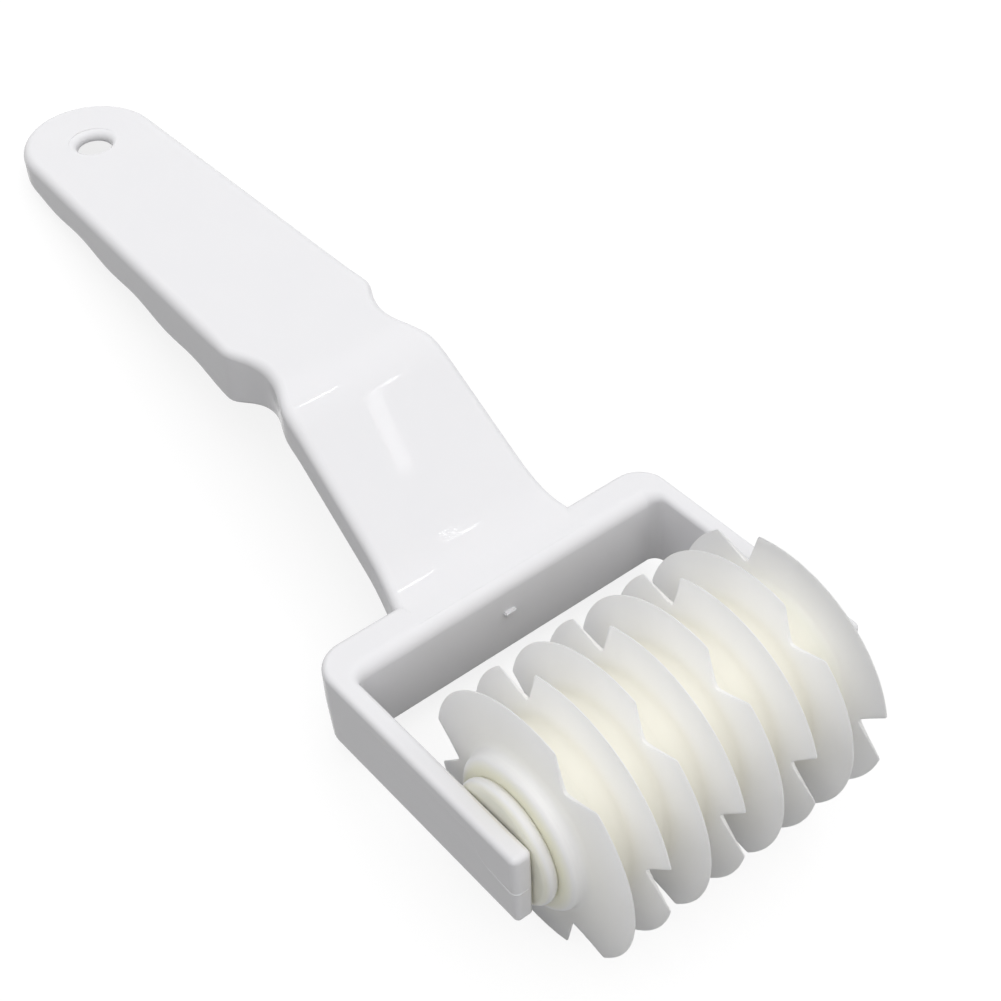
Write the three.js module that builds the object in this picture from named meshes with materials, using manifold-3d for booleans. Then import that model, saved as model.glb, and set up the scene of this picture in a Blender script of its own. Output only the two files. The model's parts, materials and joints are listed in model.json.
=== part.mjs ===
// Lattice roller cutter: notched plastic discs on a hexagonal axle, carried by a one-piece handle and fork.
// Sizes are millimetres. The tool is drawn about its axle, with X along the axle, Y towards the end of the
// handle and Z square to the fork, and is then tipped back until it rests on its roller and handle end.
import * as THREE from 'three';
import { mergeVertices } from 'three/addons/utils/BufferGeometryUtils.js';
import Module from 'manifold-3d';

// Cutter discs
const discCount = 8;
const discPitch = 7;
const discDiameter = 43.6;
const rimThickness = 0.4;
const hubDiameter = 25.4;
const hubEdgeRadius = 0.8;
const hubEndRadius = 2.2;
const flankHollow = 0.55;
const flankFoot = 1.4;
const jointGap = 0.3;

// Notches that leave the uncut bridges of a lattice
const notchCount = 3;
const notchWidth = 8.3;
const notchDepth = 5.2;
const notchFloorRadius = 0.5;
const notchCornerRadius = 0.7;

// Turn of each disc: every second disc is half a notch step on, and each has a little play on the axle
const rollerTurn = 28.4;
const discPlay = [-0.3, 0.5, 0.2, -0.6, -1.6, -1.9, 1.4, 2.8];

// Axle and end collars
const axleFlats = 12;
const keyClearance = 0.3;
const trunnionDiameter = 6;
const trunnionClearance = 0.3;
const socketDepth = 2.2;
const collarDiameter = 20.6;
const collarThickness = 1.8;
const sideGap = 0.3;

// Fork
const armThickness = 3.6;
const armReach = 7.1;
const forkTop = 6.6;
const forkBottom = 8;
const barGap = 12.5;
const barThickness = 7.4;
const forkOuterRadius = 5.5;
const forkInnerRadius = 2;
const armTipRadius = 1;
const forkEdgeRadius = 0.9;

// Neck and handle, seen from the side
const neckSetback = 1.4;
const neckSlope = 34.1;
const neckRun = 29.4;
const neckDepth = 7.2;
const handleSlope = 1.7;
const handleRun = 97.15;
const footBlend = 5;
const bendBlend = 5;
const neckSink = 0.05;
const gripDepth = 10.5;
const gripTaper = 0.062;
const fingerPitch = 19.6;
const fingerDepth = 0.8;

// Neck and handle, seen from above
const neckHalfWidth = 14.6;
const gripHalfWidth = 14.9;
const neckFlare = 0.038;
const footFlare = 1.5;
const footFlareRun = 10;
const footDepth = 4;
const waistSetback = 9;
const waistDepth = 2.7;
const waistFrontRun = 9.5;
const waistBackRun = 7.5;
const waistFrontCurve = 1.5;
const waistBackCurve = 1;
const gripSetback = 10;
const endRadius = 12.6;
const handleEdgeRadius = 1.8;
const lowerEdgeRadius = 0.6;

// Moulded wall and hanging hole
const wall = 1.8;
const wallDraft = 0.4;
const holeDiameter = 6.4;
const holeEdgeRadius = 0.9;
const holeSetback = 13.8;

// Facets
const discFacets = 36;
const hubEdgeFacets = 3;
const flankFacets = 3;
const notchFacets = 2;
const collarEdgeFacets = 4;
const roundFacets = 24;
const forkCornerFacets = 2;
const forkEdgeFacets = 2;
const stationStep = 3;
const footStep = 1.3;
const endFacets = 8;
const edgeFacets = 3;

// Sizes that follow from the ones above
const discRadius = discDiameter / 2;
const hubRadius = hubDiameter / 2;
const hubHalf = (discPitch - jointGap) / 2;
const stackHalf = (discCount - 1) * discPitch / 2 + hubHalf;
const forkInnerHalf = stackHalf + collarThickness + 2 * sideGap;
const forkOuterHalf = forkInnerHalf + armThickness;
const barFront = discRadius + barGap;
const barBack = barFront + barThickness;
const footY = barBack + neckSetback;
const bendY = footY + neckRun;
const tipY = bendY + handleRun;
const endCentreY = tipY - endRadius;
const waistY = bendY + waistSetback;
const holeY = tipY - holeSetback;
const gripFrontY = waistY + gripSetback;
const overshoot = 5;

const wasm = await Module();
wasm.setup();

// A closed geometry as a solid for cutting and joining, without the collapsed triangles on a lathe's axis
function solidOf(geometry) {
  const bare = geometry.clone();
  bare.deleteAttribute('normal');
  bare.deleteAttribute('uv');
  const merged = mergeVertices(bare, 1e-4);
  const vertProperties = new Float32Array(merged.attributes.position.array);
  const corners = Array.from(merged.index.array);
  const triangles = [];
  for (let i = 0; i < corners.length; i += 3) {
    const [a, b, c] = corners.slice(i, i + 3);
    if (a !== b && b !== c && c !== a) {
      triangles.push(a, b, c);
    }
  }
  const triVerts = new Uint32Array(triangles);
  return new wasm.Manifold(new wasm.Mesh({ numProp: 3, vertProperties, triVerts }));
}

// A cut or joined solid back as a geometry
function geometryOf(solid) {
  const { vertProperties, triVerts } = solid.getMesh();
  const geometry = new THREE.BufferGeometry();
  geometry.setAttribute('position', new THREE.BufferAttribute(vertProperties, 3));
  geometry.setIndex(new THREE.BufferAttribute(triVerts, 1));
  geometry.computeVertexNormals();
  return geometry;
}

// Turn a form drawn about Y so that it stands about the axle, X
function alongAxle(geometry) {
  return geometry.rotateZ(-Math.PI / 2);
}

function piece(name, geometry, material) {
  const mesh = new THREE.Mesh(geometry, material);
  mesh.name = name;
  return mesh;
}

// A hexagonal bar along the axle
function hexBar(acrossFlats, length) {
  const cornerRadius = acrossFlats / Math.sqrt(3);
  return alongAxle(new THREE.CylinderGeometry(cornerRadius, cornerRadius, length, 6));
}

// A round bar along the axle, with its middle at x
function roundBar(diameter, length, x) {
  const bar = new THREE.CylinderGeometry(diameter / 2, diameter / 2, length, roundFacets);
  return alongAxle(bar).translate(x, 0, 0);
}

// One side of a disc's section, from the axis out: hub end, rounded hub edge, then a hollow flank to the rim
function discSide(round) {
  const shoulder = new THREE.Vector2(hubRadius - round, hubHalf - round);
  const hubEdge = new THREE.EllipseCurve(shoulder.x, shoulder.y, round, round, Math.PI / 2, 0, true);
  const flank = new THREE.QuadraticBezierCurve(
    new THREE.Vector2(hubRadius, shoulder.y),
    new THREE.Vector2(hubRadius + flankFoot, flankHollow),
    new THREE.Vector2(discRadius, rimThickness / 2),
  );
  const hubMiddle = new THREE.Vector2(0, hubHalf);
  return [hubMiddle, ...hubEdge.getPoints(hubEdgeFacets), ...flank.getPoints(flankFacets).slice(1)];
}

// Revolved section of a disc, from the roundings of its hub's left and right edges
function discSection(leftRound, rightRound) {
  const left = discSide(leftRound).map((point) => new THREE.Vector2(point.x, -point.y));
  return [...left, ...discSide(rightRound).reverse()];
}

// V notch through a rim, drawn with the disc centre at the origin and its mouth towards +Y
function notchCutter() {
  const half = notchWidth / 2;
  const mouth = Math.sqrt(discRadius ** 2 - half ** 2);
  const floor = discRadius - notchDepth;
  const flank = new THREE.Vector2(half, mouth - floor).normalize();
  const corner = new THREE.Vector2(half, mouth).addScaledVector(flank, -notchCornerRadius);
  const foot = new THREE.Vector2(0, floor).addScaledVector(flank, notchFloorRadius);
  const top = discRadius + overshoot;
  const outline = new THREE.Shape();
  outline.moveTo(-foot.x, foot.y);
  outline.quadraticCurveTo(0, floor, foot.x, foot.y);
  outline.lineTo(corner.x, corner.y);
  outline.quadraticCurveTo(half, mouth, half + notchCornerRadius, mouth);
  outline.lineTo(half + notchCornerRadius, top);
  outline.lineTo(-half - notchCornerRadius, top);
  outline.lineTo(-half - notchCornerRadius, mouth);
  outline.quadraticCurveTo(-half, mouth, -corner.x, corner.y);
  const prism = new THREE.ExtrudeGeometry(outline, {
    depth: discPitch,
    bevelEnabled: false,
    curveSegments: notchFacets,
  });
  prism.translate(0, 0, -discPitch / 2);
  return prism.rotateY(Math.PI / 2).rotateX(Math.PI / 2);
}

// The discs at the ends of the roller have a rounder hub edge towards the collar
function cutterDisc(number) {
  const leftRound = number === 1 ? hubEndRadius : hubEdgeRadius;
  const rightRound = number === discCount ? hubEndRadius : hubEdgeRadius;
  const section = discSection(leftRound, rightRound);
  let disc = solidOf(alongAxle(new THREE.LatheGeometry(section, discFacets)));
  disc = disc.subtract(solidOf(hexBar(axleFlats + 2 * keyClearance, discPitch)));
  for (let i = 0; i < notchCount; i += 1) {
    disc = disc.subtract(solidOf(notchCutter().rotateX(i * 2 * Math.PI / notchCount)));
  }
  return geometryOf(disc);
}

// The axle is hexagonal through the discs and collars, with round trunnions that turn in the arms
function axle() {
  const hexHalf = forkInnerHalf - 2 * sideGap;
  const endX = forkInnerHalf + socketDepth - trunnionClearance;
  const trunnions = solidOf(roundBar(trunnionDiameter, 2 * endX, 0));
  return geometryOf(solidOf(hexBar(axleFlats, 2 * hexHalf)).add(trunnions));
}

// A round-edged collar that keeps the last disc off the arm
function endCollar() {
  const half = collarThickness / 2;
  const edge = new THREE.EllipseCurve(collarDiameter / 2 - half, 0, half, half, -Math.PI / 2, Math.PI / 2);
  const section = [
    new THREE.Vector2(0, -half),
    ...edge.getPoints(collarEdgeFacets),
    new THREE.Vector2(0, half),
  ];
  const ring = solidOf(alongAxle(new THREE.LatheGeometry(section, discFacets)));
  return geometryOf(ring.subtract(solidOf(hexBar(axleFlats + 2 * keyClearance, discPitch))));
}

// A slope that sets in smoothly around a place, as a change of height
function bend(y, place, reach, slopeChange) {
  const run = y - place + reach;
  if (run <= 0) {
    return 0;
  }
  return run < 2 * reach ? slopeChange * run ** 2 / (4 * reach) : slopeChange * (y - place);
}

// Height of the neck's and handle's upper face
function topHeight(y) {
  const neckRise = Math.tan(THREE.MathUtils.degToRad(neckSlope));
  const handleRise = Math.tan(THREE.MathUtils.degToRad(handleSlope));
  const neck = bend(y, footY, footBlend, neckRise);
  return forkTop - neckSink + neck + bend(y, bendY, bendBlend, handleRise - neckRise);
}

// Depth of the neck's and handle's side, with finger hollows under the grip
function sideDepth(y) {
  const along = y - gripFrontY;
  const waves = fingerDepth / 2 * Math.cos(2 * Math.PI * along / fingerPitch);
  const grip = gripDepth - gripTaper * along + waves;
  return THREE.MathUtils.lerp(neckDepth, grip, THREE.MathUtils.smoothstep(y, bendY, gripFrontY));
}

// Half width of the neck and handle: flared foot, tapered neck, waist notch and tapered grip
function halfWidth(y) {
  const neck = neckHalfWidth + (waistY - y) * neckFlare;
  const grip = gripHalfWidth - (y - waistY) * (gripHalfWidth - endRadius) / (endCentreY - waistY);
  const share = THREE.MathUtils.smoothstep(y, waistY - waistFrontRun, waistY + waistBackRun);
  const isFront = y < waistY;
  const notch = (y - waistY) / (isFront ? waistFrontRun : waistBackRun);
  const waist = waistDepth * Math.max(0, 1 - notch ** 2) ** (isFront ? waistFrontCurve : waistBackCurve);
  const foot = THREE.MathUtils.clamp((barBack + footFlareRun - y) / footFlareRun, 0, 1);
  return THREE.MathUtils.lerp(neck, grip, share) - waist + footFlare * foot ** 2;
}

// Right-hand edge of the handle in plan, from a starting place to the middle of the rounded end
function handleEdge(startY) {
  const edge = [];
  let y = startY;
  while (y < endCentreY - stationStep / 2) {
    edge.push(new THREE.Vector2(halfWidth(y), y));
    y += y < barBack + footFlareRun ? footStep : stationStep;
  }
  for (let i = 0; i <= endFacets; i += 1) {
    const turn = Math.PI / 2 * i / endFacets;
    edge.push(new THREE.Vector2(endRadius * Math.cos(turn), endCentreY + endRadius * Math.sin(turn)));
  }
  return edge;
}

// Direction into the handle, square to its edge, at one place along that edge
function inwards(edge, i) {
  if (i === edge.length - 1) {
    return new THREE.Vector2(0, -1);
  }
  const before = edge[Math.max(i - 1, 0)];
  const run = edge[i + 1].clone().sub(before).normalize();
  return i === 0 ? new THREE.Vector2(-1, 0) : new THREE.Vector2(-run.y, run.x);
}

// Closed moulding through layers of one edge, each set in from it and some depth under the upper face
function moulding(startY, layers) {
  const edge = handleEdge(startY);
  const last = edge.length - 1;
  const ringSize = 2 * last + 1;
  const positions = [];
  layers.forEach(({ inset, depth }) => {
    const points = edge.map((point, i) => point.clone().addScaledVector(inwards(edge, i), inset));
    const heights = points.map((point, i) => topHeight(point.y) - depth(edge[i].y));
    for (let i = 0; i <= last; i += 1) {
      positions.push(points[i].x, points[i].y, heights[i]);
    }
    for (let i = last - 1; i >= 0; i -= 1) {
      positions.push(-points[i].x, points[i].y, heights[i]);
    }
  });
  const triangles = [];
  for (let layer = 0; layer < layers.length - 1; layer += 1) {
    for (let i = 0; i < ringSize; i += 1) {
      const a = layer * ringSize + i;
      const b = layer * ringSize + (i + 1) % ringSize;
      triangles.push(a, a + ringSize, b, b, a + ringSize, b + ringSize);
    }
  }
  const lowest = (layers.length - 1) * ringSize;
  for (let i = 0; i < last; i += 1) {
    const right = [i, i + 1];
    const left = [ringSize - 1 - i, ringSize - 2 - i];
    triangles.push(right[0], right[1], left[0]);
    triangles.push(lowest + right[1], lowest + right[0], lowest + left[0]);
    if (right[1] !== left[1]) {
      triangles.push(right[1], left[1], left[0]);
      triangles.push(lowest + left[1], lowest + right[1], lowest + left[0]);
    }
  }
  const geometry = new THREE.BufferGeometry();
  geometry.setAttribute('position', new THREE.Float32BufferAttribute(positions, 3));
  geometry.setIndex(triangles);
  return geometry;
}

// Outer form of the neck and handle, with rounded upper and lower edges
function handleBody() {
  const layers = [];
  for (let i = 0; i <= edgeFacets; i += 1) {
    const turn = Math.PI / 2 * i / edgeFacets;
    const sunk = handleEdgeRadius * (1 - Math.cos(turn));
    layers.push({ inset: handleEdgeRadius * (1 - Math.sin(turn)), depth: () => sunk });
  }
  layers.push({ inset: 0, depth: (y) => sideDepth(y) - lowerEdgeRadius });
  layers.push({ inset: lowerEdgeRadius, depth: sideDepth });
  return solidOf(moulding(barBack - footDepth, layers));
}

// Space cored out from below, leaving an even wall
function handleCore() {
  return solidOf(moulding(footY, [
    { inset: wall + wallDraft, depth: () => wall },
    { inset: wall, depth: (y) => sideDepth(y) + overshoot },
  ]));
}

// Hole in the handle end, with a rounded upper edge
function hangingHole() {
  const radius = holeDiameter / 2;
  const mouth = radius + holeEdgeRadius;
  const rounding = new THREE.EllipseCurve(
    mouth, -holeEdgeRadius, holeEdgeRadius, holeEdgeRadius, Math.PI, Math.PI / 2, true,
  );
  const section = [
    new THREE.Vector2(0, -overshoot),
    new THREE.Vector2(radius, -overshoot),
    ...rounding.getPoints(edgeFacets),
    new THREE.Vector2(mouth, overshoot),
    new THREE.Vector2(0, overshoot),
  ];
  const cutter = new THREE.LatheGeometry(section, roundFacets);
  return solidOf(cutter.rotateX(Math.PI / 2).translate(0, holeY, topHeight(holeY)));
}

// Crossbar and two arms as one extruded outline with rounded edges
function fork() {
  const outer = forkOuterHalf;
  const inner = forkInnerHalf;
  const tip = armTipRadius - armReach;
  const back = barBack - forkOuterRadius;
  const front = barFront - forkInnerRadius;
  const quarter = Math.PI / 2;
  const outline = new THREE.Shape();
  outline.moveTo(inner, front);
  outline.absarc(inner + armTipRadius, tip, armTipRadius, 2 * quarter, 3 * quarter, false);
  outline.absarc(outer - armTipRadius, tip, armTipRadius, 3 * quarter, 4 * quarter, false);
  outline.absarc(outer - forkOuterRadius, back, forkOuterRadius, 0, quarter, false);
  outline.absarc(forkOuterRadius - outer, back, forkOuterRadius, quarter, 2 * quarter, false);
  outline.absarc(armTipRadius - outer, tip, armTipRadius, 2 * quarter, 3 * quarter, false);
  outline.absarc(-inner - armTipRadius, tip, armTipRadius, 3 * quarter, 4 * quarter, false);
  outline.absarc(forkInnerRadius - inner, front, forkInnerRadius, 2 * quarter, quarter, true);
  outline.absarc(inner - forkInnerRadius, front, forkInnerRadius, quarter, 0, true);
  const plate = new THREE.ExtrudeGeometry(outline, {
    depth: forkTop + forkBottom - 2 * forkEdgeRadius,
    bevelThickness: forkEdgeRadius,
    bevelSize: forkEdgeRadius,
    bevelOffset: -forkEdgeRadius,
    bevelSegments: forkEdgeFacets,
    curveSegments: forkCornerFacets,
  });
  return solidOf(plate.translate(0, 0, forkEdgeRadius - forkBottom));
}

// Blind socket in the inner face of an arm
function axleSocket(side) {
  const middle = side * (forkInnerHalf + (socketDepth - overshoot) / 2);
  return solidOf(roundBar(trunnionDiameter + 2 * trunnionClearance, socketDepth + overshoot, middle));
}

function handleFrame() {
  let frame = handleBody().subtract(handleCore()).subtract(hangingHole());
  frame = frame.add(fork());
  frame = frame.subtract(axleSocket(1)).subtract(axleSocket(-1));
  return geometryOf(frame);
}

// Glossy white plastic of the handle
function whitePlastic() {
  return new THREE.MeshStandardMaterial({ color: 0xe9e9eb, roughness: 0.3, metalness: 0 });
}

// Slightly clouded ivory plastic of the roller
function ivoryPlastic() {
  return new THREE.MeshStandardMaterial({ color: 0xeeecdf, roughness: 0.45, metalness: 0 });
}

// Roller: discs, axle and collars turn together
const roller = new THREE.Group();
roller.rotation.x = THREE.MathUtils.degToRad(rollerTurn);
roller.add(piece('axle', axle(), ivoryPlastic()));
for (let i = 0; i < discCount; i += 1) {
  const disc = piece(`cutter_disc_${i + 1}`, cutterDisc(i + 1), ivoryPlastic());
  const stagger = (i % 2) * 180 / notchCount;
  disc.position.x = (i - (discCount - 1) / 2) * discPitch;
  disc.rotation.x = THREE.MathUtils.degToRad(stagger + (discPlay[i] ?? 0));
  roller.add(disc);
}
[['end_collar_left', -1], ['end_collar_right', 1]].forEach(([name, side]) => {
  const collar = piece(name, endCollar(), ivoryPlastic());
  collar.position.x = side * (stackHalf + sideGap + collarThickness / 2);
  roller.add(collar);
});

// The tool tipped back onto its handle end, with the middle of its footprint at the origin
const endUnderside = topHeight(tipY) - sideDepth(tipY);
const endReach = Math.hypot(tipY, endUnderside);
const tipBack = Math.atan2(endUnderside, tipY) + Math.asin(discRadius / endReach);
const tool = new THREE.Group();
tool.rotation.x = -tipBack;
tool.add(piece('handle_frame', handleFrame(), whitePlastic()), roller);
const box = new THREE.Box3().setFromObject(tool, true);
const middle = box.getCenter(new THREE.Vector3());
tool.position.set(-middle.x, -middle.y, -box.min.z);

const latticeRollerCutter = new THREE.Group();
latticeRollerCutter.add(tool);
latticeRollerCutter.updateMatrixWorld(true);

export default latticeRollerCutter;
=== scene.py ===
# Looks of the lattice roller cutter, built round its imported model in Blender 4.5.
import json
from math import atan2, ceil, cos, exp, pi, radians, sin, sqrt, tan

import bmesh
import bpy
from mathutils import Matrix, Vector


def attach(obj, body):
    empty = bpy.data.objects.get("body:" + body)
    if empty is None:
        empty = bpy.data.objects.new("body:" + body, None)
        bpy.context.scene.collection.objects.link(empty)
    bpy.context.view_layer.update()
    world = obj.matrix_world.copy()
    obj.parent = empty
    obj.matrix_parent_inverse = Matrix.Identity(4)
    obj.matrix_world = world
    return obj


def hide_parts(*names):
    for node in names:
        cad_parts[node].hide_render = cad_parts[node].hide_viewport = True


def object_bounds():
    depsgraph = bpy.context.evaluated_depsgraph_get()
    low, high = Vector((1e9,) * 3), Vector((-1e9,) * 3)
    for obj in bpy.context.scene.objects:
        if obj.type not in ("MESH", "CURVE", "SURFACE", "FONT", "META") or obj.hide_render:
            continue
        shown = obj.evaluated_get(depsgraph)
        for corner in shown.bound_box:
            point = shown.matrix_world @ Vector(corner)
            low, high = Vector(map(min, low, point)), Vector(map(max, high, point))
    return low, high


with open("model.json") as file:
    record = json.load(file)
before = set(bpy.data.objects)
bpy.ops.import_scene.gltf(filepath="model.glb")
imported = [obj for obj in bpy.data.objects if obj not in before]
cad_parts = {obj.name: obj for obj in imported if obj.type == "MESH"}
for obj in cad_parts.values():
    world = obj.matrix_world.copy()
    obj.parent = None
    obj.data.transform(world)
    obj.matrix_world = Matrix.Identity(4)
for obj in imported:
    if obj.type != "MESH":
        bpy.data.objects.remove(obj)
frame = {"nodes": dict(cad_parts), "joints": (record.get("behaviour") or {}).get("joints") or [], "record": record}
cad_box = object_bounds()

# Axle
# The real axle is a hexagonal rod of ivory plastic that keys the discs to each other. Its round ends
# turn in blind sockets in the fork, whose arms are sprung apart to let it in.
MM = 0.001
HANDLE_SLOPE = radians(1.7)
axle_place = Vector(frame["joints"][0]["pos_m"])
hang_axis = frame["record"]["mounts"][0]["axis"]
tip_back = atan2(hang_axis[1], hang_axis[2]) + HANDLE_SLOPE
tool_place = Matrix.Translation(axle_place) @ Matrix.Rotation(-tip_back, 4, "X")

HUB_RADIUS = 12.7 * MM
DISC_RADIUS = 21.78 * MM
# The hub cream is partly the thick plastic's own tint and partly painted warm light caught between the discs. The
# golden colour is a painted glow of light in the grooves beside the end hubs. The rim white is the thin plastic's
# paler tone with a painted cool light on it.
HUB_CREAM_AND_CAUGHT_LIGHT = (0.945, 0.925, 0.825, 1)
PAINTED_GROOVE_GLOW = (0.985, 0.94, 0.74, 1)
PALE_CREAM = (0.985, 0.972, 0.92, 1)
IVORY = (0.98, 0.968, 0.915, 1)
THIN_RIM_WHITE_AND_COOL_LIGHT = (0.93, 0.934, 0.988, 1)
TINT_START = 20 * MM
TINT_END = 30 * MM
# Along the axle towards the ends: hub cream, then the collar's pale cream, with a painted golden glow in the
# groove between the end hub and its collar and at the collar's edge beside the arm.
ALONG_TINTS_AND_GROOVE_GLOW = ((0, HUB_CREAM_AND_CAUGHT_LIGHT), (0.44, HUB_CREAM_AND_CAUGHT_LIGHT), (0.56, PALE_CREAM), (0.73, PALE_CREAM), (0.79, PAINTED_GROOVE_GLOW),
               (0.86, PALE_CREAM), (0.95, PALE_CREAM), (1, PAINTED_GROOVE_GLOW))
BLADE_TINT = 0.35
RIM_TINT = 0.85
SCATTER_START = 0.15
HUB_SCATTER = 0.1
IVORY_SCATTER_RADIUS = (1, 1, 1)
IVORY_SCATTER_DEPTH = 4 * MM
IVORY_CLOUD = (0.985, 1)
IVORY_CLOUD_SIZE = 6 * MM
IVORY_ROUGHNESS = (0.34, 0.42)
IVORY_ROUGHNESS_SIZE = 4 * MM
IVORY_GRAIN_SIZE = 4 * MM
IVORY_GRAIN_HEIGHT = 0.004 * MM
IVORY_IOR = 1.5
CLOUD_RANGE = (0.3, 0.7)
CLOUD_DETAIL = 3
GRAIN_DETAIL = 2
MIX_FIRST, MIX_SECOND, MIX_RESULT = 6, 7, 2


def node(tree, kind, **settings):
    """A new node with the given settings."""
    made = tree.nodes.new(kind)
    for name, value in settings.items():
        setattr(made, name, value)
    return made


def spread(tree, value, start, end, low=0, high=1):
    """A value that runs from start to end, spread evenly between low and high."""
    made = node(tree, "ShaderNodeMapRange")
    made.inputs["From Min"].default_value = start
    made.inputs["From Max"].default_value = end
    made.inputs["To Min"].default_value = low
    made.inputs["To Max"].default_value = high
    tree.links.new(value, made.inputs["Value"])
    return made.outputs["Result"]


def larger(tree, first, second):
    """The larger of two values."""
    made = node(tree, "ShaderNodeMath", operation="MAXIMUM")
    tree.links.new(first, made.inputs[0])
    tree.links.new(second, made.inputs[1])
    return made.outputs[0]


def tinted(tree, value, stops):
    """A colour that runs through stops of (share, colour) as a value grows from 0 to 1."""
    ramp = node(tree, "ShaderNodeValToRGB")
    elements = ramp.color_ramp.elements
    elements.remove(elements[1])
    elements[0].position, elements[0].color = stops[0]
    for share, colour in stops[1:]:
        elements.new(share).color = colour
    tree.links.new(value, ramp.inputs["Fac"])
    return ramp.outputs["Color"]


def noise(tree, coordinate, size, detail):
    """A soft noise with features of a given size."""
    made = node(tree, "ShaderNodeTexNoise")
    made.inputs["Scale"].default_value = 1 / size
    made.inputs["Detail"].default_value = detail
    tree.links.new(coordinate, made.inputs["Vector"])
    return made.outputs["Fac"]


def clouding(tree, coordinate, size, levels):
    """A soft noise spread between two levels."""
    return spread(tree, noise(tree, coordinate, size, CLOUD_DETAIL), *CLOUD_RANGE, *levels)


def mould_grain(tree, coordinate, size, height):
    """The faint unevenness that a polished mould leaves in plastic."""
    bump = node(tree, "ShaderNodeBump")
    bump.inputs["Strength"].default_value = 1
    bump.inputs["Distance"].default_value = height
    tree.links.new(noise(tree, coordinate, size, GRAIN_DETAIL), bump.inputs["Height"])
    return bump.outputs["Normal"]


def ivory_plastic():
    """Clouded plastic, cream at the hubs (partly its own tint, partly painted light caught between them), with a
    painted golden glow in the end grooves and a painted cool light at the whiter thin rims.
    """
    material = bpy.data.materials.new("ivory_plastic")
    material.use_nodes = True
    tree = material.node_tree
    shader = tree.nodes["Principled BSDF"]
    place = node(tree, "ShaderNodeTexCoord").outputs["Object"]
    from_axle = node(tree, "ShaderNodeVectorMath", operation="SUBTRACT")
    from_axle.inputs[1].default_value = axle_place
    across = node(tree, "ShaderNodeVectorMath", operation="MULTIPLY")
    across.inputs[1].default_value = (0, 1, 1)
    radius = node(tree, "ShaderNodeVectorMath", operation="LENGTH")
    parts = node(tree, "ShaderNodeSeparateXYZ")
    sideways = node(tree, "ShaderNodeMath", operation="ABSOLUTE")
    tree.links.new(place, from_axle.inputs[0])
    tree.links.new(from_axle.outputs[0], across.inputs[0])
    tree.links.new(across.outputs[0], radius.inputs[0])
    tree.links.new(from_axle.outputs[0], parts.inputs[0])
    tree.links.new(parts.outputs["X"], sideways.inputs[0])
    reach = spread(tree, radius.outputs["Value"], HUB_RADIUS, DISC_RADIUS)
    along = spread(tree, sideways.outputs[0], TINT_START, TINT_END)
    # Hub colour along the axle, carrying the painted caught light and groove glow, blended out into the blade's
    # colour with its painted cool light at the rims.
    tint = node(tree, "ShaderNodeMix", data_type="RGBA")
    tree.links.new(spread(tree, reach, 0, BLADE_TINT), tint.inputs["Factor"])
    tree.links.new(tinted(tree, along, ALONG_TINTS_AND_GROOVE_GLOW), tint.inputs[MIX_FIRST])
    blade = tinted(tree, reach, ((BLADE_TINT, IVORY), (RIM_TINT, THIN_RIM_WHITE_AND_COOL_LIGHT)))
    tree.links.new(blade, tint.inputs[MIX_SECOND])
    clouded = node(tree, "ShaderNodeMix", data_type="RGBA", blend_type="MULTIPLY")
    clouded.inputs["Factor"].default_value = 1
    tree.links.new(tint.outputs[MIX_RESULT], clouded.inputs[MIX_FIRST])
    tree.links.new(clouding(tree, place, IVORY_CLOUD_SIZE, IVORY_CLOUD), clouded.inputs[MIX_SECOND])
    tree.links.new(clouded.outputs[MIX_RESULT], shader.inputs["Base Color"])
    scatter = spread(tree, larger(tree, reach, along), SCATTER_START, BLADE_TINT, low=HUB_SCATTER)
    tree.links.new(scatter, shader.inputs["Subsurface Weight"])
    roughness = clouding(tree, place, IVORY_ROUGHNESS_SIZE, IVORY_ROUGHNESS)
    tree.links.new(roughness, shader.inputs["Roughness"])
    grain = mould_grain(tree, place, IVORY_GRAIN_SIZE, IVORY_GRAIN_HEIGHT)
    tree.links.new(grain, shader.inputs["Normal"])
    shader.inputs["IOR"].default_value = IVORY_IOR
    shader.inputs["Subsurface Radius"].default_value = IVORY_SCATTER_RADIUS
    shader.inputs["Subsurface Scale"].default_value = IVORY_SCATTER_DEPTH
    return material


ivory = ivory_plastic()
axle = frame["nodes"]["axle"]
axle.data.materials.clear()
axle.data.materials.append(ivory)

# Cutter discs
# Each disc is one ivory moulding: a thin blade, hollow on both flanks, on a broad hub with a hexagonal
# bore. Three V notches in the rim leave the uncut bridges, and each second disc is turned half a step.
DISC_COUNT = 8
DISC_PITCH = 7 * MM
HUB_HALF = 3.499 * MM
HUB_EDGE = (0.006 * MM, 0.006 * MM)
HUB_END = (1.5 * MM, 2.75 * MM)
BLADE_FOOT = 14.6 * MM
FOOT_HALF = 0.45 * MM
RIM_HALF = 0.1 * MM
FLANK_HOLLOW = 1.7
BLADE_EDGE = 0.08 * MM
BORE_FLATS = 12.6 * MM
BORE_SIDES = 6
NOTCH_COUNT = 3
NOTCH_HALF = 4.15 * MM
NOTCH_DEPTH = 5.2 * MM
NOTCH_ROUND = 0.5 * MM
NOTCH_SPAN = radians(14)
ROLLER_TURN = radians(28.4)
DISC_PLAY = [-0.3, 0.5, 0.2, -0.6, -1.6, -1.9, 1.4, 2.8]
HUB_EDGE_FACETS = 8
FLANK_FACETS = 12
BLADE_FACETS = 9
BLADE_EDGE_FACETS = 4
NOTCH_FACETS = 44
RIM_FACETS = 28
ROLLER_CREASE = radians(38)


def shares(count):
    """Even shares from 0 to 1, with both ends."""
    return [i / count for i in range(count + 1)]


def quarter(count):
    """Even angles through a quarter turn, with both ends."""
    return [pi / 2 * share for share in shares(count)]


def smaller(a, b, blend):
    """The smaller of two values, with the change between them rounded off."""
    mix = max(blend - abs(a - b), 0) / blend
    return min(a, b) - mix * mix * blend / 4


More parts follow.
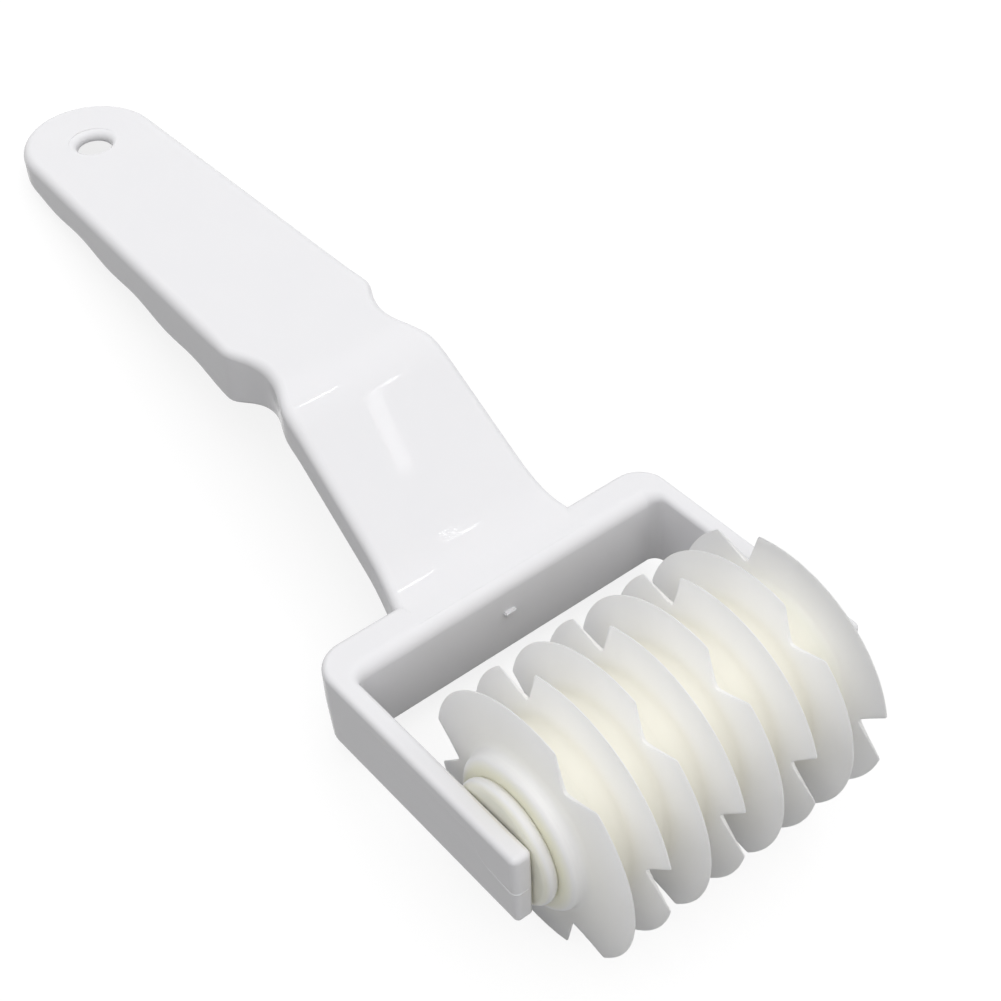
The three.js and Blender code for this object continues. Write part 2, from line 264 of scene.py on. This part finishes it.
def rim_radius(turn):
    """Outline of the blade in one notch step, with the notch in the middle."""
    floor = DISC_RADIUS - NOTCH_DEPTH
    slope = (sqrt(DISC_RADIUS**2 - NOTCH_HALF**2) - floor) / NOTCH_HALF
    away = sqrt((floor * turn) ** 2 + NOTCH_ROUND**2) - NOTCH_ROUND
    angle = min(away / floor, NOTCH_SPAN)
    flank = floor / (cos(angle) - slope * sin(angle))
    return smaller(DISC_RADIUS, flank, NOTCH_ROUND)


def notch_turns():
    """Turns across one notch step: close together at the notch, wider apart along the rim."""
    half_step = pi / NOTCH_COUNT
    notch = [NOTCH_SPAN * (2 * share - 1) for share in shares(NOTCH_FACETS)]
    rim = [NOTCH_SPAN + 2 * (half_step - NOTCH_SPAN) * share for share in shares(RIM_FACETS)[1:-1]]
    return notch + rim


def bore_radius(turn):
    """A hexagonal bore, flat to flat."""
    side = 2 * pi / BORE_SIDES
    return BORE_FLATS / 2 / cos(turn % side - side / 2)


def blade_half(out):
    """Half thickness of the blade, hollow from its foot to the thin rim."""
    reach = (DISC_RADIUS - out) / (DISC_RADIUS - BLADE_FOOT)
    return RIM_HALF + (FOOT_HALF - RIM_HALF) * max(reach, 0) ** FLANK_HOLLOW


def disc_side(turn, step_turn, hub_round):
    """One side at one turn, from the bore to the rim, as places along the axle and out from it."""
    along, out = hub_round
    points = [Vector((HUB_HALF, bore_radius(turn)))]
    for angle in quarter(HUB_EDGE_FACETS):
        points.append(Vector((HUB_HALF - along * (1 - cos(angle)), HUB_RADIUS - out * (1 - sin(angle)))))
    crest = points[-1]
    foot = Vector((FOOT_HALF, BLADE_FOOT))
    slope = FLANK_HOLLOW * (FOOT_HALF - RIM_HALF) / (DISC_RADIUS - BLADE_FOOT)
    hollow = Vector((FOOT_HALF + slope * (BLADE_FOOT - HUB_RADIUS), HUB_RADIUS))
    for share in shares(FLANK_FACETS)[1:]:
        points.append(crest.lerp(hollow, share).lerp(hollow.lerp(foot, share), share))
    end = rim_radius(step_turn)
    for share in shares(BLADE_FACETS)[1:]:
        place = BLADE_FOOT + (end - BLADE_EDGE - BLADE_FOOT) * share
        points.append(Vector((blade_half(place), place)))
    edge = points[-1].x
    for angle in quarter(BLADE_EDGE_FACETS)[1:]:
        points.append(Vector((edge - BLADE_EDGE * (1 - cos(angle)), end - BLADE_EDGE * (1 - sin(angle)))))
    return points


def solid(name, mesh):
    """A named object from a closed mesh, with its faces turned outwards."""
    bmesh.ops.recalc_face_normals(mesh, faces=mesh.faces)
    data = bpy.data.meshes.new(name)
    mesh.to_mesh(data)
    mesh.free()
    made = bpy.data.objects.new(name, data)
    bpy.context.scene.collection.objects.link(made)
    return made


def moulded(piece, crease, material):
    """Gives a piece smooth faces, crisp corners where it bends more than a crease, and one material."""
    data = piece.data
    data.polygons.foreach_set("use_smooth", [True] * len(data.polygons))
    data.set_sharp_from_angle(angle=crease)
    data.materials.clear()
    data.materials.append(material)


def revolved(name, sections, place):
    """An ivory ring through sections of (along the axle, out from it), each at its own turn."""
    mesh = bmesh.new()
    rows = []
    for turn, section in sections:
        row = []
        for along, out in section:
            row.append(mesh.verts.new(place @ Vector((along, -out * sin(turn), out * cos(turn)))))
        rows.append(row)
    for i, row in enumerate(rows):
        after = rows[(i + 1) % len(rows)]
        for j in range(len(row)):
            k = (j + 1) % len(row)
            mesh.faces.new((row[j], row[k], after[k], after[j]))
    ring = solid(name, mesh)
    moulded(ring, ROLLER_CREASE, ivory)
    return ring


def notched_disc(name, x, turn, left_round, right_round):
    """One disc in its place along the axle, with its own rounding at each end of the hub."""
    sections = []
    for i in range(NOTCH_COUNT):
        for step_turn in notch_turns():
            around = step_turn + i * 2 * pi / NOTCH_COUNT
            left = [(-along, out) for along, out in disc_side(around, step_turn, left_round)]
            sections.append((around, disc_side(around, step_turn, right_round) + left[::-1]))
    place = tool_place @ Matrix.Rotation(turn, 4, "X") @ Matrix.Translation((x, 0, 0))
    return revolved(name, sections, place)


for number in range(DISC_COUNT):
    stagger = (number % 2) * pi / NOTCH_COUNT
    along_axle = (number - (DISC_COUNT - 1) / 2) * DISC_PITCH
    disc_turn = ROLLER_TURN + stagger + radians(DISC_PLAY[number])
    left_round = HUB_END if number == 0 else HUB_EDGE
    right_round = HUB_END if number == DISC_COUNT - 1 else HUB_EDGE
    disc = notched_disc(f"blade_{number + 1}", along_axle, disc_turn, left_round, right_round)
    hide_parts(f"cutter_disc_{number + 1}")
    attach(disc, "roller")

# End collars
# A round-edged washer of the same ivory plastic fills the space between the last hub and each arm. It is
# keyed to the axle by a hexagonal pocket, and its outer face closes round the axle's turned end.
COLLAR_INNER = 28.0 * MM
COLLAR_OUTER = 30.2 * MM
COLLAR_CREST = 29.0 * MM
COLLAR_RADIUS = 10.25 * MM
COLLAR_DIP = 0.4 * MM
COLLAR_ROUND = 1.3 * MM
COLLAR_DIP_FACETS = 8
COLLAR_ROUND_FACETS = 12
COLLAR_FACETS = 96
AXLE_SHOULDER = 29.7 * MM
TRUNNION_RADIUS = 3.05 * MM


def collar_bead():
    """Section of the collar's outer face: a shallow dip beside the hub, a crest and a round edge."""
    bead = []
    for share in shares(COLLAR_DIP_FACETS):
        along = COLLAR_INNER + (COLLAR_CREST - COLLAR_INNER) * share
        bead.append((along, COLLAR_RADIUS - COLLAR_DIP * (1 - share) ** 2))
    for angle in quarter(COLLAR_ROUND_FACETS)[1:]:
        along = COLLAR_CREST + (COLLAR_OUTER - COLLAR_CREST) * sin(angle)
        bead.append((along, COLLAR_RADIUS - COLLAR_ROUND * (1 - cos(angle))))
    return bead


for side, name in ((-1, "left"), (1, "right")):
    sections = []
    for share in shares(COLLAR_FACETS)[:-1]:
        around = 2 * pi * share
        section = [(side * COLLAR_INNER, bore_radius(around))]
        section += [(side * along, out) for along, out in collar_bead()]
        section.append((side * COLLAR_OUTER, TRUNNION_RADIUS))
        section.append((side * AXLE_SHOULDER, TRUNNION_RADIUS))
        section.append((side * AXLE_SHOULDER, bore_radius(around)))
        sections.append((around, section))
    collar = revolved(f"collar_{name}", sections, tool_place @ Matrix.Rotation(ROLLER_TURN, 4, "X"))
    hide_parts(f"end_collar_{name}")
    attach(collar, "roller")

# Handle and fork
# One injection moulding in glossy white plastic: a fork with a crossbar, a bent neck and a grip that is
# cored out from below. The grip's lower edges carry shallow finger hollows, and its end a hanging hole.
ARM_INNER = 30.25 * MM
ARM_OUTER = 33.75 * MM
ARM_REACH = 7.5 * MM
FORK_TOP = 6.6 * MM
FORK_BOTTOM = -7.98 * MM
FORK_DRAFT = 0.4 * MM
BAR_FRONT = 34.3 * MM
BAR_BACK = 41.7 * MM
FORK_OUTER_ROUND = 5.5 * MM
FORK_INNER_ROUND = 2 * MM
ARM_TIP_ROUND = 1.1 * MM
ARM_NOSE_ROUND = 1.2 * MM
ARM_EDGE = 1.05 * MM
BAR_EDGE = 2.4 * MM
FORK_LOWER_EDGE = 0.5 * MM
CORNER_FACETS = 10
FORK_EDGE_FACETS = 6
NECK_START = 36.3 * MM
NECK_FOOT = 43.1 * MM
NECK_BEND = 72.5 * MM
NECK_SLOPE = radians(34.1)
NECK_SINK = 0.002 * MM
FOOT_BLEND = 5 * MM
BEND_BLEND = 5 * MM
NECK_DEPTH = 7.2 * MM
WAIST = 81.5 * MM
GRIP_FRONT = 91.5 * MM
GRIP_DEPTH = 10.5 * MM
GRIP_TAPER = 0.062
GRIP_STEP = 0.7 * MM
FINGER_PITCH = 19.6 * MM
FINGER_DEPTH = 0.8 * MM
NECK_HALF = 14.6 * MM
GRIP_HALF = 14.9 * MM
NECK_FLARE = 0.038
WAIST_DEPTH = 2.7 * MM
WAIST_FRONT_RUN = 9.5 * MM
WAIST_BACK_RUN = 7.5 * MM
WAIST_FRONT_CURVE = 1.5
WAIST_BACK_CURVE = 1
SHOULDER_ROUND = 1.3 * MM
SHOULDER_STEPS = 6
FOOT_FLARE = 1.5 * MM
FOOT_RUN = 10 * MM
FOOT_FACETS = 28
TIP = 169.57 * MM
END_RADIUS = 12.6 * MM
END_CENTRE = TIP - END_RADIUS
END_FACETS = 32
HANDLE_EDGE = 1.8 * MM
SHOULDER_EDGE = 1.4 * MM
SHOULDER_PLACE = 88.5 * MM
SHOULDER_SPAN = 5 * MM
UPPER_EDGE_FACETS = 10
LOWER_EDGE = 0.6 * MM
LOWER_EDGE_FACETS = 3
WALL = 1.8 * MM
WALL_DRAFT = 0.4 * MM
CORE_EDGE_FACETS = 5
HOLE_PLACE = 155.85 * MM
HOLE_RADIUS = 3.2 * MM
HOLE_EDGE = 1.4 * MM
HOLE_EDGE_FACETS = 10
HOLE_FACETS = 64
SOCKET_RADIUS = 3.3 * MM
SOCKET_DEPTH = 2.2 * MM
OVERSHOOT = 5 * MM
SEAM_PATH = [(27, 3.95), (2.4, 3.95), (1.5, 2.3), (0.66, 0.67), (-0.3, -0.1), (-1.48, -0.58),
             (-4.78, -1.06)]
SEAM_END = -1.2 * MM
SEAM_RADIUS = 0.24 * MM
SEAM_SUNK = 0.19 * MM
SEAM_SIDES = 8
GATE_SIZE = (2.3 * MM, 1.3 * MM, 0.85 * MM)
GATE_PLACE = (-0.9 * MM, BAR_FRONT, 0.25 * MM)
GATE_ROUND = 0.2125 * MM
GATE_ROUND_FACETS = 3
WHITE = (0.754, 0.751, 0.768, 1)
DENSE_WHITE = (0.760, 0.757, 0.772, 1)
WHITE_CLOUD = (0, 1)
WHITE_CLOUD_SIZE = 9 * MM
WHITE_ROUGHNESS = (0.03, 0.045)
WHITE_ROUGHNESS_SIZE = 14 * MM
WHITE_GRAIN_SIZE = 11 * MM
WHITE_GRAIN_HEIGHT = 0.006 * MM
WHITE_IOR = 1.49
WHITE_SHINE = 0.06
WHITE_SCATTER = 0.3
WHITE_SCATTER_RADIUS = (1, 0.98, 0.95)
WHITE_SCATTER_DEPTH = 1.5 * MM
HANDLE_CREASE = radians(35)


def white_plastic():
    """Glossy plastic with a faint unevenness in its white and in its polish."""
    material = bpy.data.materials.new("white_plastic")
    material.use_nodes = True
    tree = material.node_tree
    shader = tree.nodes["Principled BSDF"]
    place = node(tree, "ShaderNodeTexCoord").outputs["Object"]
    tint = node(tree, "ShaderNodeMix", data_type="RGBA")
    tint.inputs[MIX_FIRST].default_value = WHITE
    tint.inputs[MIX_SECOND].default_value = DENSE_WHITE
    tree.links.new(clouding(tree, place, WHITE_CLOUD_SIZE, WHITE_CLOUD), tint.inputs["Factor"])
    tree.links.new(tint.outputs[MIX_RESULT], shader.inputs["Base Color"])
    roughness = clouding(tree, place, WHITE_ROUGHNESS_SIZE, WHITE_ROUGHNESS)
    tree.links.new(roughness, shader.inputs["Roughness"])
    grain = mould_grain(tree, place, WHITE_GRAIN_SIZE, WHITE_GRAIN_HEIGHT)
    tree.links.new(grain, shader.inputs["Normal"])
    shader.inputs["IOR"].default_value = WHITE_IOR
    shader.inputs["Specular IOR Level"].default_value = WHITE_SHINE
    shader.inputs["Subsurface Weight"].default_value = WHITE_SCATTER
    shader.inputs["Subsurface Radius"].default_value = WHITE_SCATTER_RADIUS
    shader.inputs["Subsurface Scale"].default_value = WHITE_SCATTER_DEPTH
    return material


def bend(y, at, reach, change):
    """A change of slope that sets in smoothly around a place, as a height."""
    run = y - at + reach
    if run <= 0:
        return 0
    return change * run * run / (4 * reach) if run < 2 * reach else change * (y - at)


def top_height(y):
    """Height of the upper face, which rises from the crossbar and levels out along the grip."""
    neck = bend(y, NECK_FOOT, FOOT_BLEND, tan(NECK_SLOPE))
    grip = bend(y, NECK_BEND, BEND_BLEND, tan(HANDLE_SLOPE) - tan(NECK_SLOPE))
    return FORK_TOP - NECK_SINK + neck + grip


def eased(y, start, end):
    """A share that grows from 0 to 1 between two places, slowly at first and at last."""
    share = min(max((y - start) / (end - start), 0), 1)
    return share * share * (3 - 2 * share)


def side_depth(y):
    """Depth of the neck's and grip's sides, with the finger hollows under the grip."""
    along = y - GRIP_FRONT
    grip = GRIP_DEPTH - GRIP_TAPER * along + FINGER_DEPTH / 2 * cos(2 * pi * along / FINGER_PITCH)
    return NECK_DEPTH + (grip - NECK_DEPTH) * eased(y, NECK_BEND, GRIP_FRONT)


def waist_cut(y):
    """Depth of the waist notch: a long slope in front and a short one up to the grip's shoulder."""
    run, curve = (WAIST_FRONT_RUN, WAIST_FRONT_CURVE) if y < WAIST else (WAIST_BACK_RUN, WAIST_BACK_CURVE)
    return WAIST_DEPTH * max(1 - ((y - WAIST) / run) ** 2, 0) ** curve


def half_width(y):
    """Half width of the neck and grip in plan: flared foot, taper, rounded waist notch and grip."""
    neck = NECK_HALF + (WAIST - y) * NECK_FLARE
    grip = GRIP_HALF - (y - WAIST) * (GRIP_HALF - END_RADIUS) / (END_CENTRE - WAIST)
    side = neck + (grip - neck) * eased(y, WAIST - WAIST_FRONT_RUN, WAIST + WAIST_BACK_RUN)
    cuts = [waist_cut(y + SHOULDER_ROUND * (2 * share - 1)) for share in shares(SHOULDER_STEPS)]
    foot = min(max((BAR_BACK + FOOT_RUN - y) / FOOT_RUN, 0), 1)
    return side - sum(cuts) / len(cuts) + FOOT_FLARE * foot * foot


def grip_edge(start):
    """Right-hand edge of the neck and grip in plan, from a starting place to the middle of the end."""
    count = ceil((END_CENTRE - start) / GRIP_STEP)
    places = [start + (END_CENTRE - start) * share for share in shares(count)[:-1]]
    if start < BAR_BACK:
        foot_end = BAR_BACK + FOOT_RUN
        foot = [start + (foot_end - start) * share for share in shares(FOOT_FACETS)]
        places = foot + [y for y in places if y > foot_end + GRIP_STEP / 2]
    edge = [Vector((half_width(y), y)) for y in places]
    for turn in quarter(END_FACETS):
        edge.append(Vector((END_RADIUS * cos(turn), END_CENTRE + END_RADIUS * sin(turn))))
    return edge


def inward_rays(edge):
    """Directions square to an open edge, towards the middle line."""
    rays = [Vector((-1, 0))]
    for before, after in zip(edge, edge[2:]):
        run = (after - before).normalized()
        rays.append(Vector((-run.y, run.x)))
    rays.append(Vector((0, -1)))
    return rays


def upper_edge(y):
    """Rounding of the upper edge, tighter at the shoulder behind the waist."""
    tight = exp(-(((y - SHOULDER_PLACE) / SHOULDER_SPAN) ** 2))
    return HANDLE_EDGE + (SHOULDER_EDGE - HANDLE_EDGE) * tight


def upper_layer(y, turn):
    """One line of the rounded upper edge: how far in, and how deep under the upper face."""
    return upper_edge(y) * (1 - sin(turn)), upper_edge(y) * (1 - cos(turn))


def lower_layer(y, turn):
    """One line of the rounded lower edge."""
    return LOWER_EDGE * (1 - cos(turn)), side_depth(y) - LOWER_EDGE * (1 - sin(turn))


def core_layer(y, turn):
    """One line of the core's rounded ceiling."""
    return WALL + WALL_DRAFT + SHOULDER_EDGE * (1 - sin(turn)), WALL + SHOULDER_EDGE * (1 - cos(turn))


def core_mouth(y, turn):
    """The core's open end, below the handle's lower edge."""
    return WALL, side_depth(y) + OVERSHOOT


def bridged(mesh, rings):
    """Faces between each closed ring and the next."""
    for ring, after in zip(rings, rings[1:]):
        for i in range(len(ring)):
            j = (i + 1) % len(ring)
            mesh.faces.new((ring[i], after[i], after[j], ring[j]))


def grip_solid(name, start, layers):
    """The neck and grip as layers of one plan edge, each moved in and sunk under the upper face."""
    edge = grip_edge(start)
    rays = inward_rays(edge)
    last = len(edge) - 1
    mesh = bmesh.new()
    rings = []
    for layer, turn in layers:
        right = []
        for outer, ray in zip(edge, rays):
            inset, depth = layer(outer.y, turn)
            place = outer + ray * inset
            right.append(Vector((place.x, place.y, top_height(place.y) - depth)))
        left = [Vector((-point.x, point.y, point.z)) for point in reversed(right[:-1])]
        rings.append([mesh.verts.new(point) for point in right + left])
    bridged(mesh, rings)
    for ring in (rings[0], rings[-1]):
        for i in range(last - 1):
            mesh.faces.new((ring[i], ring[i + 1], ring[-2 - i], ring[-1 - i]))
        mesh.faces.new((ring[last - 1], ring[last], ring[last + 1]))
    return solid(name, mesh)


def stacked(name, mesh, rings):
    """A solid through closed rings, with a flat face at each end."""
    bridged(mesh, rings)
    mesh.faces.new(rings[0])
    mesh.faces.new(rings[-1])
    return solid(name, mesh)


def corner(x, y, radius, start, end, edges=(0, 0), drafts=(0, 0), hollow=False):
    """A rounded corner in plan: places, directions out of the plastic, edge roundings and drafts."""
    points = []
    for share in shares(CORNER_FACETS):
        turn = pi / 2 * (start + (end - start) * share)
        ray = Vector((cos(turn), sin(turn)))
        edge = edges[0] + (edges[1] - edges[0]) * share
        draft = drafts[0] + (drafts[1] - drafts[0]) * share
        points.append((Vector((x, y)) + ray * radius, -ray if hollow else ray, edge, draft))
    return points


def fork_plan():
    """Outline of the crossbar and arms; the crossbar's inner upper edge is the softest."""
    plain, soft = (ARM_EDGE, ARM_EDGE), (ARM_EDGE, BAR_EDGE)
    drawn = (FORK_DRAFT, FORK_DRAFT)
    tip, nose = ARM_TIP_ROUND, ARM_NOSE_ROUND
    outer = ARM_OUTER - FORK_OUTER_ROUND
    back = BAR_BACK - FORK_OUTER_ROUND
    right = corner(ARM_INNER + tip, tip - ARM_REACH, tip, 2, 3, plain, (0, FORK_DRAFT))
    right += corner(ARM_OUTER - nose, nose - ARM_REACH, nose, 3, 4, plain, drawn)
    right += corner(outer, back, FORK_OUTER_ROUND, 0, 1, plain, drawn)
    mirror = Matrix.Scale(-1, 2, Vector((1, 0)))
    left = [(mirror @ place, mirror @ out, edge, draft) for place, out, edge, draft in reversed(right)]
    depth = BAR_FRONT - FORK_INNER_ROUND
    reach = ARM_INNER - FORK_INNER_ROUND
    inside = corner(-reach, depth, FORK_INNER_ROUND, 2, 1, soft, hollow=True)
    inside += corner(reach, depth, FORK_INNER_ROUND, 1, 0, soft[::-1], hollow=True)
    return right + left + inside


def fork_solid():
    """The crossbar and arms, rounded at the lower edge, drawn in below and rounded at the upper edge."""
    mesh = bmesh.new()
    rings = []
    plan = fork_plan()
    for turn in quarter(FORK_EDGE_FACETS):
        inset = FORK_LOWER_EDGE * (1 - sin(turn))
        height = FORK_BOTTOM + FORK_LOWER_EDGE * (1 - cos(turn))
        ring = [place - out * (inset + draft) for place, out, edge, draft in plan]
        rings.append([mesh.verts.new((*place, height)) for place in ring])
    rings.append([mesh.verts.new((*place, 0)) for place, out, edge, draft in plan])
    for turn in quarter(FORK_EDGE_FACETS):
        ring = []
        for place, out, edge, draft in plan:
            moved = place - out * edge * (1 - cos(turn))
            ring.append(mesh.verts.new((*moved, FORK_TOP - edge * (1 - sin(turn)))))
        rings.append(ring)
    return stacked("fork", mesh, rings)


def mould_seam(side):
    """The fine ridge that the mould's parting line leaves along an arm's outer face and round its tip."""
    face = ARM_OUTER - SEAM_SUNK
    path = [Vector((side * face, y * MM, z * MM)) for y, z in SEAM_PATH]
    nose = ARM_NOSE_ROUND
    for place, out, edge, draft in corner(ARM_OUTER - nose, nose - ARM_REACH, nose, 4, 3):
        inner = place - out * SEAM_SUNK
        path.append(Vector((side * inner.x, inner.y, SEAM_END)))
    path.append(Vector((side * (ARM_INNER + ARM_TIP_ROUND), SEAM_SUNK - ARM_REACH, SEAM_END)))
    mesh = bmesh.new()
    rings = []
    for i, point in enumerate(path):
        run = (path[min(i + 1, len(path) - 1)] - path[max(i - 1, 0)]).normalized()
        turned = run.to_track_quat("Z", "X").to_matrix()
        ring = []
        for share in shares(SEAM_SIDES)[:-1]:
            angle = 2 * pi * share
            ring.append(mesh.verts.new(point + turned @ Vector((cos(angle), sin(angle), 0)) * SEAM_RADIUS))
        rings.append(ring)
    return stacked("seam", mesh, rings)


def gate_mark():
    """The stub that is left on the crossbar's inner face where the mould was filled."""
    mesh = bmesh.new()
    place = Matrix.Translation(GATE_PLACE) @ Matrix.Diagonal((*GATE_SIZE, 1))
    bmesh.ops.create_cube(mesh, size=1, matrix=place)
    edges = mesh.edges[:]
    bmesh.ops.bevel(mesh, geom=edges, offset=GATE_ROUND, segments=GATE_ROUND_FACETS, affect="EDGES")
    return solid("gate", mesh)


def turned_solid(name, section, place):
    """A solid of revolution about its own Z, from a section of (radius, height)."""
    mesh = bmesh.new()
    turns = [2 * pi * share for share in shares(HOLE_FACETS)[:-1]]
    rings = []
    for radius, height in section:
        ring = [place @ Vector((radius * cos(turn), radius * sin(turn), height)) for turn in turns]
        rings.append([mesh.verts.new(point) for point in ring])
    return stacked(name, mesh, rings)


def combine(body, other, operation):
    """Joins another solid to a body, or cuts it away, and drops the other."""
    step = body.modifiers.new(operation, "BOOLEAN")
    step.operation = operation
    step.solver = "MANIFOLD"
    step.object = other
    shape = body.evaluated_get(bpy.context.evaluated_depsgraph_get())
    combined = bpy.data.meshes.new_from_object(shape)
    body.modifiers.clear()
    body.data = combined
    bpy.data.objects.remove(other)


def handle_frame():
    """The cored and pierced grip, joined to the fork with its gate mark, sockets and seams."""
    layers = [(upper_layer, turn) for turn in quarter(UPPER_EDGE_FACETS)]
    layers += [(lower_layer, turn) for turn in quarter(LOWER_EDGE_FACETS)]
    body = grip_solid("handle_and_fork", NECK_START, layers)
    layers = [(core_layer, turn) for turn in quarter(CORE_EDGE_FACETS)] + [(core_mouth, 0)]
    combine(body, grip_solid("core", NECK_FOOT, layers), "DIFFERENCE")
    mouth = HOLE_RADIUS + HOLE_EDGE
    hole = [(HOLE_RADIUS, -OVERSHOOT)]
    for turn in quarter(HOLE_EDGE_FACETS):
        hole.append((mouth - HOLE_EDGE * cos(turn), HOLE_EDGE * (sin(turn) - 1)))
    hole.append((mouth, OVERSHOOT))
    hole_place = Matrix.Translation((0, HOLE_PLACE, top_height(HOLE_PLACE)))
    combine(body, turned_solid("hole", hole, hole_place), "DIFFERENCE")
    combine(body, fork_solid(), "UNION")
    combine(body, gate_mark(), "UNION")
    for side in (-1, 1):
        socket = [(SOCKET_RADIUS, -OVERSHOOT), (SOCKET_RADIUS, SOCKET_DEPTH)]
        place = Matrix.Translation((side * ARM_INNER, 0, 0)) @ Matrix.Rotation(side * pi / 2, 4, "Y")
        combine(body, turned_solid("socket", socket, place), "DIFFERENCE")
        combine(body, mould_seam(side), "UNION")
    return body


handle = handle_frame()
handle.data.transform(tool_place)
moulded(handle, HANDLE_CREASE, white_plastic())
even_faces = handle.modifiers.new("even_faces", "WEIGHTED_NORMAL")
even_faces.keep_sharp = True
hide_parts("handle_frame")
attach(handle, "frame")

# Table, light and camera
# A plain white table under a large soft ceiling of light, with three slim lamps to the right for the
# streaks on the neck. The camera stands where the photograph was taken from, in the fork's own frame.
FLOOR_SIZE = 3.0
FLOOR_DROP = 0.02 * MM
FLOOR_SEEN = 1.02
FLOOR_PAINT = 0.2
FLOOR_BOUNCE = 0.12
WALL_LEVEL = 0.12
CEILING_LEVEL = 1.66
SEEN_LEVEL = 1
SLIM_LAMPS = (("bend_lamp", (0.366, 0.238, 0.9), (0.03, 0.03), 0.15),
              ("neck_lamp", (0.404, -0.03, 0.9), (0.012, 0.03), 0.06),
              ("neck_glow", (0.39, -0.1, 0.9), (0.012, 0.14), 0.08))
CAMERA_PLACE = Vector((-123.54, -130.81, 216.0)) * MM
CAMERA_TURN = radians(-36.505)
CAMERA_RAISE = radians(43.018)
CAMERA_ROLL = radians(-3.371)
CAMERA_LENS = 68.01
CAMERA_SENSOR = 36.0
CAMERA_NEAR = 0.01


def plainly_seen(tree):
    """1 for the rays that show the background: straight to the camera, mirrored or through a gap."""
    rays = node(tree, "ShaderNodeLightPath").outputs
    mirrored = larger(tree, rays["Is Glossy Ray"], rays["Is Transmission Ray"])
    return larger(tree, rays["Is Camera Ray"], mirrored)


def white_floor():
    """White where it is seen, with the object's shadow on it, and throwing little light back up."""
    material = bpy.data.materials.new("white_floor")
    material.use_nodes = True
    tree = material.node_tree
    tree.nodes.clear()
    out = node(tree, "ShaderNodeOutputMaterial")
    bounce = node(tree, "ShaderNodeBsdfDiffuse")
    bounce.inputs["Color"].default_value = (FLOOR_BOUNCE, FLOOR_BOUNCE, FLOOR_BOUNCE, 1)
    paint = node(tree, "ShaderNodeBsdfDiffuse")
    paint.inputs["Color"].default_value = (FLOOR_PAINT, FLOOR_PAINT, FLOOR_PAINT, 1)
    glow = node(tree, "ShaderNodeEmission")
    glow.inputs["Strength"].default_value = FLOOR_SEEN - FLOOR_PAINT
    lit = node(tree, "ShaderNodeAddShader")
    either = node(tree, "ShaderNodeMixShader")
    tree.links.new(paint.outputs[0], lit.inputs[0])
    tree.links.new(glow.outputs[0], lit.inputs[1])
    tree.links.new(plainly_seen(tree), either.inputs[0])
    tree.links.new(bounce.outputs[0], either.inputs[1])
    tree.links.new(lit.outputs[0], either.inputs[2])
    tree.links.new(either.outputs[0], out.inputs["Surface"])
    return material


half = FLOOR_SIZE / 2
floor_corners = [(-half, -half, 0), (half, -half, 0), (half, half, 0), (-half, half, 0)]
floor_mesh = bpy.data.meshes.new("floor")
floor_mesh.from_pydata(floor_corners, [], [(0, 1, 2, 3)])
floor_mesh.materials.append(white_floor())
floor = bpy.data.objects.new("floor", floor_mesh)
floor.location.z = cad_box[0].z - FLOOR_DROP
bpy.context.scene.collection.objects.link(floor)

world = bpy.data.worlds.new("studio")
bpy.context.scene.world = world
world.use_nodes = True
sky = world.node_tree
background = sky.nodes["Background"]
background.inputs["Color"].default_value = (1, 1, 1, 1)
direction = node(sky, "ShaderNodeTexCoord")
height = node(sky, "ShaderNodeSeparateXYZ")
sky.links.new(direction.outputs["Generated"], height.inputs[0])
ceiling = spread(sky, height.outputs["Z"], 0, 1, WALL_LEVEL, CEILING_LEVEL)
level = node(sky, "ShaderNodeMix")
level.inputs["B"].default_value = SEEN_LEVEL
sky.links.new(ceiling, level.inputs["A"])
sky.links.new(plainly_seen(sky), level.inputs["Factor"])
sky.links.new(level.outputs["Result"], background.inputs["Strength"])

for name, place, size, power in SLIM_LAMPS:
    lamp_data = bpy.data.lights.new(name, "AREA")
    lamp_data.shape = "RECTANGLE"
    lamp_data.size, lamp_data.size_y = size
    lamp_data.energy = power
    lamp = bpy.data.objects.new(name, lamp_data)
    lamp.location = place
    bpy.context.scene.collection.objects.link(lamp)

camera_data = bpy.data.cameras.new("camera")
camera_data.lens = CAMERA_LENS
camera_data.sensor_width = CAMERA_SENSOR
camera_data.clip_start = CAMERA_NEAR
camera = bpy.data.objects.new("camera", camera_data)
aim = Matrix.Rotation(CAMERA_TURN, 4, "Z") @ Matrix.Rotation(pi / 2 - CAMERA_RAISE, 4, "X")
rolled = aim @ Matrix.Rotation(CAMERA_ROLL, 4, "Z")
camera.matrix_world = tool_place @ Matrix.Translation(CAMERA_PLACE) @ rolled
bpy.context.scene.collection.objects.link(camera)
bpy.context.scene.camera = camera

bpy.context.scene.view_settings.view_transform = "Standard"
